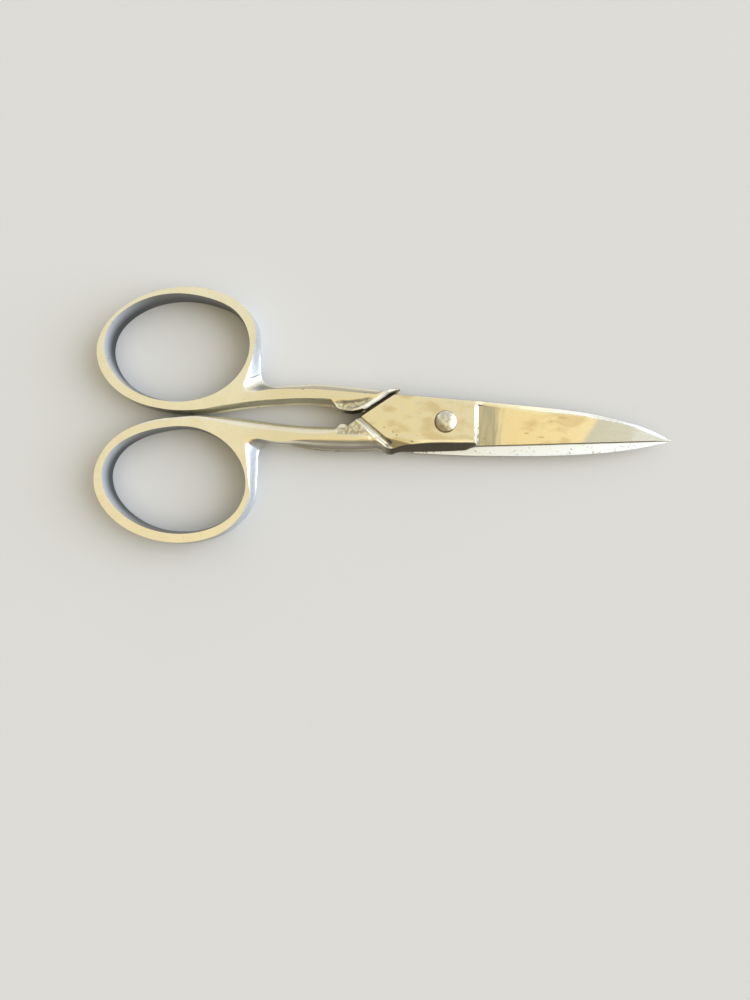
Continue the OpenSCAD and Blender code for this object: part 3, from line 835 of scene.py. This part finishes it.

    # Forged walls: darker than the flats, partly the forging's own dull tarnish and partly painted shade; a
    # painted cool reflection on the blades' side, warm and dull along the shank, with a painted highlight on
    # the rim at mid height
    wall = g.mix(g.ramp(-31.0, -26.0, x), WALL, WALL_WARM)
    blade_side = g.times(g.ramp(0.25, 0.75, nx), g.ramp(-22.0, -27.0, x))
    wall = g.paint(wall, WALL_COOL_REFLECTION, blade_side)
    # Painted light on the walls that face into the gap between the halves
    gap_side = g.times(g.ramp(0.2, 0.6, g.times(ny, side)), g.ramp(-44.0, -38.0, x), g.ramp(-15.0, -16.0, x),
                       g.ramp(-4.2, -3.6, flip_y))
    wall = g.paint(wall, GAP_WALL_LIT, gap_side, 0.6 if rear else 1.0)
    wall = g.paint(wall, RAW_DARK, g.ramp(0.35, 0.65, g.noise(place, 1.3, 4.0)), 0.15)
    level = g.math("ABSOLUTE", up)
    along = g.times(g.ramp(-47.0, -43.0, x), g.ramp(-8.5, -10.0, x), g.ramp(6.0, 4.0, g.math("ABSOLUTE", y)))
    outside = g.times(along, g.ramp(-3.4, -4.2, flip_y), g.ramp(-28.0, -26.0, x))
    # On the shank's outer wall: a paler warm tone on the rear half; on the front half a painted highlight high
    # up and painted shade low down
    if rear:
        wall = g.paint(wall, (0.63, 0.565, 0.44), outside, 0.9)
    else:
        wall = g.paint(wall, (0.97, 0.92, 0.74), outside, g.ramp(1.0, 2.0, level), 0.9)
        wall = g.paint(wall, (0.25, 0.225, 0.17), outside, g.ramp(1.0, 0.6, level), 0.8)
    # Painted highlight along the wall's rim at mid height, brighter on the outer side
    rim = g.mix(outside, RIM_HIGHLIGHT, (0.95, 0.92, 0.82))
    wall = g.paint(wall, rim, along, g.ramp(0.52, 0.36, level), 0.85)
    # Inside a ring the wall gets a painted highlight where it faces +x, and painted shade elsewhere and lower
    # down
    ring_x, ring_y = half["ring"]
    outward = g.add(g.times(g.add(x, -ring_x), nx), g.times(g.add(y, -ring_y * side), ny))
    inside = g.ramp(-0.5, -2.5, outward)
    pale = g.mix(g.ramp(0.2, 0.8, nx), (0.25, 0.255, 0.255), (0.66, 0.70, 0.75))
    dark = g.mix(g.ramp(1.6, 4.4, z), (0.10, 0.105, 0.11), pale)
    wall = g.paint(wall, dark, inside, g.ramp(-27.0, -30.0, x), 0.95)
    colour = g.mix(steep, colour, wall)
    # Painted highlight: the groove's bank on the cheek side is painted a lighter grey
    colour = g.paint(colour, BANK_HIGHLIGHT_GREY, bank, g.ramp(0.2, 2.0, along_groove, 0.6, 1.0))
    # Painted highlight on the riser where it faces +x
    colour = g.paint(colour, LIP_HIGHLIGHT, riser, 0.9)
    # Painted shade, near-black, on the block's walls that face out along its cutting side
    end_wall = g.times(nx, g.ramp(-6.0, -6.6, x), g.ramp(-3.8, -4.0, flip_y))
    facing_out = g.ramp(0.25, 0.7, g.math("MAXIMUM", g.times(ny, -side), end_wall))
    cutting_wall_shade = g.times(facing_out, g.ramp(5.3, 4.6, x), g.ramp(-9.4, -7.8, x),
                           g.ramp(-0.05, 0.1, up), g.ramp(1.78, 1.6, up))
    # The heel's slope, facing down, is painted dark brown as shade
    below = g.slant(x, flip_y, (HEEL_FROM[0] + shift, HEEL_FROM[1]), DOWN_HEEL)
    heel = g.times(g.ramp(0.0, 0.22, below), g.ramp(-9.3 + shift, -8.7 + shift, x),
                   g.ramp(-4.2 + shift, -5.0 + shift, x), g.ramp(0.2, 0.6, up))
    colour = g.paint(colour, (0.30, 0.26, 0.185), heel, 0.7)
    colour = g.paint(colour, DARK_SHADE_AND_SEAM, cutting_wall_shade, 0.9)

    # Painted shade, near-black, in the slot between one half's shoulder and the other half's step
    shoulder = g.slant(x, flip_y, half["shoulder"][0], OFF_SHOULDER)
    own_slot = g.times(steep, g.ramp(-0.22, -0.1, shoulder), g.ramp(-16.0, -15.2, x),
                       g.ramp(-7.6 + 1.5 * shift, -8.1 + 1.5 * shift, x), g.ramp(1.75, 1.55, up))
    other = g.slant(x, g.times(y, -side), other_half["shoulder"][0], OFF_SHOULDER)
    facing = g.times(g.ramp(-0.1, 0.02, other), g.ramp(0.56, 0.44, other), g.ramp(-14.0, -12.6, x),
                     g.ramp(-5.2 - shift, -6.2 - shift, x), g.ramp(-1.6, -1.4, up), g.ramp(0.15, 0.0, up))
    # The lip is painted as a highlight, fading to a painted grey towards its end
    lip = g.times(g.ramp(0.0, 0.1, other), g.ramp(1.3, 0.9, other), g.ramp(-14.5, -13.5, x),
                  g.ramp(-5.6 - shift, -7.6 - shift, x), g.ramp(-1.4, -1.6, up))
    colour = g.paint(colour, g.mix(g.ramp(-10.4, -8.8, x), LIP_HIGHLIGHT, TIP_REFLECTION_GREY), lip, 0.9)
    colour = g.paint(colour, DARK_SHADE_AND_SEAM, g.math("MAXIMUM", own_slot, facing), 0.96)

    # The ground inner face, with its pits
    pits = g.ramp(0.60, 0.70, g.noise(place, 2.1, 6.0))
    ground = g.mix(g.times(pits, 0.7), GROUND, (0.30, 0.29, 0.27))
    colour = g.paint(colour, ground, inner_face, g.ramp(-7.0, -4.0, x))

    # Marks, and a little rust
    marks = g.spots(x, y, REAR_MARKS if rear else FRONT_MARKS)
    marks = g.times(marks, g.ramp(0.3, 0.55, g.noise(place, 3.0, 3.0)))
    colour = g.mix(marks, colour, (0.2, 0.17, 0.12))
    rust = g.times(g.ramp(0.70, 0.76, g.noise(place, 1.15, 4.0)), g.ramp(4.0, -2.0, x), 0.6)
    colour = g.mix(rust, colour, RUST)
    if rear:
        run = g.math("MAXIMUM", g.add(x, 30.56), 0.0)
        curve = g.add(5.17, g.times(run, 0.35), g.times(run, run, 0.24))
        seam = g.math("ABSOLUTE", g.add(y, g.times(curve, -1.0)))
        seam = g.times(g.ramp(0.11, 0.04, seam), g.ramp(-30.8, -30.5, x), g.ramp(6.9, 6.6, y))
        colour = g.paint(colour, DARK_SHADE_AND_SEAM, seam, 0.75)

    soft = g.math("MAXIMUM", g.math("MAXIMUM", g.times(bank, 1.6), lip), riser)
    rough = g.add(g.times(steep, 0.16), g.times(steep, blade_side, 0.22), g.times(inner_face, 0.14),
                  g.times(raw, 0.16), g.times(soft, 0.22), g.times(streaks, 0.12), 0.2)
    height = g.times(speckle, g.add(0.35, g.times(g.math("MAXIMUM", raw, steep), 1.2)))
    g.metal(colour, rough, 0.35, 0.03, g.add(g.times(streaks, 0.6), height))
    return material


# The painted shade round the rivet's rim is centred this far off the head's middle, so it lies wider on the
# lower left
RIM_OFF = 0.08


def rivet_material():
    """Hammered steel, with painted shade round the head's rim and a darker brown towards the lower left, partly
    rust and partly painted shade.
    """
    material, g = new_material("rivet_steel")
    place = g.coords.outputs["Object"]
    x, y, _ = g.split(place)
    off_x, off_y = g.add(x, -RIM_OFF * MM), g.add(y, -RIM_OFF * MM)
    radius = g.times(g.math("POWER", g.add(g.times(off_x, off_x), g.times(off_y, off_y)), 0.5), 1 / MM)
    mottle = g.noise(place, 1400.0, 4.0)
    colour = g.mix(g.ramp(0.38, 0.62, mottle), (0.50, 0.47, 0.39), (0.80, 0.77, 0.68))
    # Darker brown towards the lower left: partly rust, partly painted shade
    corner = g.add(g.times(g.add(x, y), -0.7 / MM), g.times(g.noise(place, 900.0, 2.0), 0.5))
    colour = g.paint(colour, (0.22, 0.18, 0.13), g.ramp(0.45, 1.15, corner), 0.75)
    # Painted shade round the head's rim
    colour = g.mix(g.ramp(HEAD_R - 0.26, HEAD_R - 0.06, radius), colour, (0.16, 0.12, 0.085))
    g.metal(colour, 0.28, 0.6, 0.06, g.noise(place, 1300.0, 2.0))
    return material


# ---- The pieces ----

# The facets that the hammer left on the rivet's head: x, y and height of a point, slope, and direction of fall
DOME_FALL = 0.115
FACETS = ((0.0, 0.35, 4.47, 0.08, 85), (0.85, -0.35, 4.43, 0.25, -33), (-0.25, -0.7, 4.42, 0.4, 242),
          (-0.95, 0.15, 4.40, 0.36, 175), (-0.6, 0.9, 4.39, 0.4, 122), (0.6, 0.95, 4.37, 0.42, 70))


def build_rivet():
    """The rivet: a low flat head under the rear half, the shank, and the hammered dome."""
    shell = Shell()
    turns = np.linspace(0, 2 * math.pi, 72, endpoint=False)
    c, s = np.cos(turns), np.sin(turns)
    under = MID_Z - FACE_GAP / 2 - BLOCK_T - HEAD_GAP
    over = MID_Z + FACE_GAP / 2 + BLOCK_T + HEAD_GAP
    low = RIVET_LOW.z / MM
    uneven = 1 - 0.02 * (1 + np.sin(3 * turns + 0.7)) * 0.5 - 0.015 * (1 + np.sin(5 * turns + 2.1)) * 0.5
    profile = [(0.3, low), (0.8, low), (HEAD_R - 0.2, low + 0.01), (HEAD_R - 0.05, low + 0.06),
               (HEAD_R, low + 0.15), (HEAD_R, under - 0.05), (HEAD_R - 0.04, under), (RIVET_R + 0.03, under),
               (RIVET_R, under + 0.03), (RIVET_R, over - 0.03), (RIVET_R + 0.03, over), (HEAD_R - 0.05, over),
               (HEAD_R, over + 0.04)]
    rows = [shell.add(c * r, s * r, z) for r, z in profile]
    for share in (1.0, 0.985, 0.96, 0.92, 0.87, 0.8, 0.72, 0.63, 0.54, 0.45, 0.36, 0.27, 0.18, 0.09):
        r = HEAD_R * share * uneven
        x, y = c * r, s * r
        z = HANDLE_H - DOME_FALL * (x * x + y * y)
        for fx, fy, fz, slope, fall in FACETS:
            f = math.radians(fall)
            z = soft_min(z, fz - slope * ((x - fx) * math.cos(f) + (y - fy) * math.sin(f)), 0.03)
        z = np.maximum(z, over + 0.07)
        z = np.minimum(z, over + 0.1 + (z - over - 0.1) * min(1, (1 - share) * 9 + 0.35))
        rows.append(shell.add(x, y, z))
    for a, b in zip(rows[:-1], rows[1:]):
        shell.strip(a, b)
    ends = ((rows[0], low, True), (rows[-1], float(np.mean([shell.points[v][2] for v in rows[-1]])), False))
    for row, z, flip in ends:
        centre = shell.add(np.zeros(1), np.zeros(1), z)[0]
        for i, v in enumerate(row):
            tri = (v, row[(i + 1) % len(row)], centre)
            shell.faces.append(tri[::-1] if flip else tri)
    return shell


FRONT["bore_r"] = RIVET_R + BORE_CLEARANCE
REAR["bore_r"] = RIVET_R
front_data = build_half(FRONT).mesh("front_half_forging", lambda x, y, z: (x, y, MID_Z + FACE_GAP / 2 + z))
rear_data = build_half(REAR).mesh("rear_half_forging", lambda x, y, z: (x, -y, MID_Z - FACE_GAP / 2 - z))
rivet_data = build_rivet().mesh("hammered_rivet", lambda x, y, z: (x, y, z))
new_piece("front_half_forging", front_data, "front_body", "front_half",
          half_material("front_steel", rear=False))
new_piece("rear_half_forging", rear_data, "rear_body", "rear_half",
          half_material("rear_steel", rear=True))
new_piece("hammered_rivet", rivet_data, "rear_body", "rivet", rivet_material())

# ---- Floor, lights and camera ----

FLOOR_SIZE = 1.5
floor_data = bpy.data.meshes.new("floor")
corners = [(sx * FLOOR_SIZE, sy * FLOOR_SIZE, -0.02 * MM) for sx, sy in ((-1, -1), (1, -1), (1, 1), (-1, 1))]
floor_data.from_pydata(corners, [], [(0, 1, 2, 3)])
floor = new_object("floor", floor_data)
paper = bpy.data.materials.new("paper")
paper.use_nodes = True
surface = paper.node_tree.nodes["Principled BSDF"].inputs
surface["Base Color"].default_value = (0.60, 0.60, 0.60, 1)
surface["Roughness"].default_value = 0.9
floor_data.materials.append(paper)

# A soft studio round the object: warm overhead, a white window on the blades' side, dimmer elsewhere
world = bpy.data.worlds.new("studio")
bpy.context.scene.world = world
world.use_nodes = True
w = Graph(world.node_tree)
dx, dy, dz = w.split(w.coords.outputs["Generated"])
overhead = w.mix(w.ramp(-0.35, 0.3, dy), (1.16, 0.98, 0.60), (0.98, 0.93, 0.70))
overhead = w.mix(w.ramp(0.25, 0.6, dy), overhead, (1.12, 1.13, 1.08))
around = w.mix(w.ramp(-0.4, 0.5, w.add(w.times(dx, 0.5), dy)), (0.30, 0.28, 0.25), (1.0, 0.99, 0.95))
sky = w.mix(w.ramp(0.60, 0.86, dz), around, overhead)
window = w.add(w.times(dx, 0.86), w.times(dy, 0.10), w.times(dz, 0.50))
sky = w.mix(w.ramp(0.80, 0.93, window), sky, (3.7, 4.0, 4.5))
background = w.nodes.new("ShaderNodeBackground")
w.feed(background.inputs["Color"], sky)
w.feed(w.nodes.new("ShaderNodeOutputWorld").inputs[0], background.outputs[0])

camera_data = bpy.data.cameras.new("camera")
camera_data.lens = 24
camera_data.sensor_width = 36
camera_data.clip_start = 0.001
camera = new_object("camera", camera_data)
ROLL = math.radians(2.66)
camera.matrix_world = Matrix.Translation(Vector((-10.25, -12.52, 106.3)) * MM) @ Matrix.Rotation(ROLL, 4, "Z")
bpy.context.scene.camera = camera
bpy.context.scene.view_settings.view_transform = "Standard"
